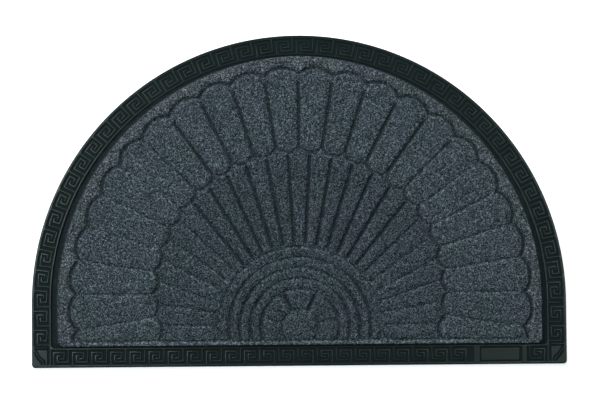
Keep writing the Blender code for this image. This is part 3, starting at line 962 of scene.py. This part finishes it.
def rubber():
    """Nearly black moulded rubber: dull in its recesses, and smoother where it is raised."""
    nodes = Nodes("rubber")
    clouds = nodes.noise(*RUBBER_CLOUDS)
    raised = nodes.share("raised")
    deep, high = nodes.clouded(clouds, RUBBER_DEEP), nodes.clouded(clouds, RUBBER_HIGH)
    nodes.put(nodes.shader.inputs["Base Color"], nodes.mix(raised, deep, high))
    patches = nodes.noise(*RUBBER_PATCHES)
    rough = nodes.math("MULTIPLY_ADD", patches, ROUGH_VARIES, RUBBER_ROUGH)
    nodes.gloss(nodes.math("MULTIPLY_ADD", raised, -RAISED_SMOOTHER, rough), RUBBER_SHINE)
    nodes.bump(nodes.noise(*RUBBER_GRAIN), *RUBBER_BUMP)
    return nodes.material


def felt():
    """The felt under the pile: black to pale specks, darker where pressed, partly with painted shade
    in the grooves and on the low skirt, and paler round the fan.
    """
    nodes = Nodes("felt")
    coarse = nodes.ramp(nodes.specks(COARSE_SPECK), FELT_SPECKS)
    fine = nodes.ramp(nodes.specks(FINE_SPECK), FELT_SPECKS)
    colour = nodes.mix(FINE_SHARE, coarse, fine)
    clouds = nodes.clouded(nodes.noise(*FELT_CLOUDS), FELT_TINTS)
    parts = nodes.ramp(nodes.share("outward"), FAN_PARTS)
    for tint in (clouds, parts):
        colour = nodes.mix(1.0, colour, tint, "MULTIPLY")
    # Darken pressed felt: partly its own tone, partly painted shade in the grooves and on the skirt.
    press_and_shade = nodes.math("MULTIPLY", nodes.share("pressed"), PRESSED_DARK_AND_SHADE)
    nodes.put(nodes.shader.inputs["Base Color"], nodes.mix(press_and_shade, colour, PRESSED_AND_SHADED_TONE))
    nodes.gloss(FELT_ROUGH, FELT_SHINE)
    nodes.bump(nodes.noise(*FELT_GRAIN), *FELT_BUMP)
    return nodes.material


def pile(name, tone):
    """One tone of the pile's fibres, a little uneven."""
    nodes = Nodes(name)
    colours = [tuple(factor * c for c in tone) for factor in (1 - TONE_VARIES, 1 + TONE_VARIES)]
    colour = nodes.clouded(nodes.noise(*PILE_CLOUDS), colours)
    nodes.put(nodes.shader.inputs["Base Color"], colour)
    nodes.gloss(PILE_ROUGH, PILE_SHINE)
    return nodes.material


def wear(item, material):
    """Give a piece its material, its map and its slot, and let it ride on the mat."""
    item.data.materials.append(material)
    flat_map(item)
    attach(item, "root")


# ------------------------------------------------------------------- studio


def soft_light(name, place, size, power, colour):
    """A square lamp aimed at the mat's middle."""
    data = bpy.data.lights.new(name, "AREA")
    data.shape = "SQUARE"
    data.size = size
    data.energy = power
    data.color = colour
    item = bpy.data.objects.new(name, data)
    item.location = place
    item.rotation_euler = (-Vector(place)).to_track_quat("-Z", "Y").to_euler()
    bpy.context.scene.collection.objects.link(item)
    return item


def studio():
    """A plain pale floor that glows a little, a dim surround and the lights."""
    bpy.ops.mesh.primitive_plane_add(size=FLOOR_SIZE)
    floor = bpy.context.object
    floor.name = "floor"
    nodes = Nodes("floor")
    nodes.shader.inputs["Base Color"].default_value = FLOOR_TONE
    nodes.shader.inputs["Roughness"].default_value = FLOOR_ROUGH
    nodes.shader.inputs["Emission Color"].default_value = (1, 1, 1, 1)
    nodes.shader.inputs["Emission Strength"].default_value = FLOOR_GLOW
    floor.data.materials.append(nodes.material)
    floor.visible_glossy = False
    world = bpy.data.worlds.new("surround")
    world.use_nodes = True
    surround = world.node_tree.nodes["Background"]
    surround.inputs["Color"].default_value = (1, 1, 1, 1)
    surround.inputs["Strength"].default_value = SURROUND_LIGHT
    bpy.context.scene.world = world
    soft_light(*MAIN_LAMP, WHITE).visible_glossy = False
    for panel in SIDE_PANELS:
        soft_light(*panel, COOL)
    bpy.context.scene.view_settings.view_transform = "Standard"


def camera():
    """The camera, which looks down almost straight."""
    data = bpy.data.cameras.new("camera")
    data.lens = CAMERA_LENS
    item = bpy.data.objects.new("camera", data)
    item.location = CAMERA_PLACE
    item.rotation_euler = (math.radians(CAMERA_TILT), 0, math.radians(CAMERA_ROLL))
    bpy.context.scene.collection.objects.link(item)
    bpy.context.scene.camera = item


def main():
    """Set up the camera and the studio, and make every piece."""
    camera()
    studio()
    tray = moulded_tray()
    wear(tray, rubber())
    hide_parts("rubber_tray")
    carpet = felt_carpet()
    wear(carpet, felt())
    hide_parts("carpet_inlay")
    for name, tone, seed in PILE_TONES:
        item = fibres(name, seed)
        wear(item, pile(name, tone))


main()
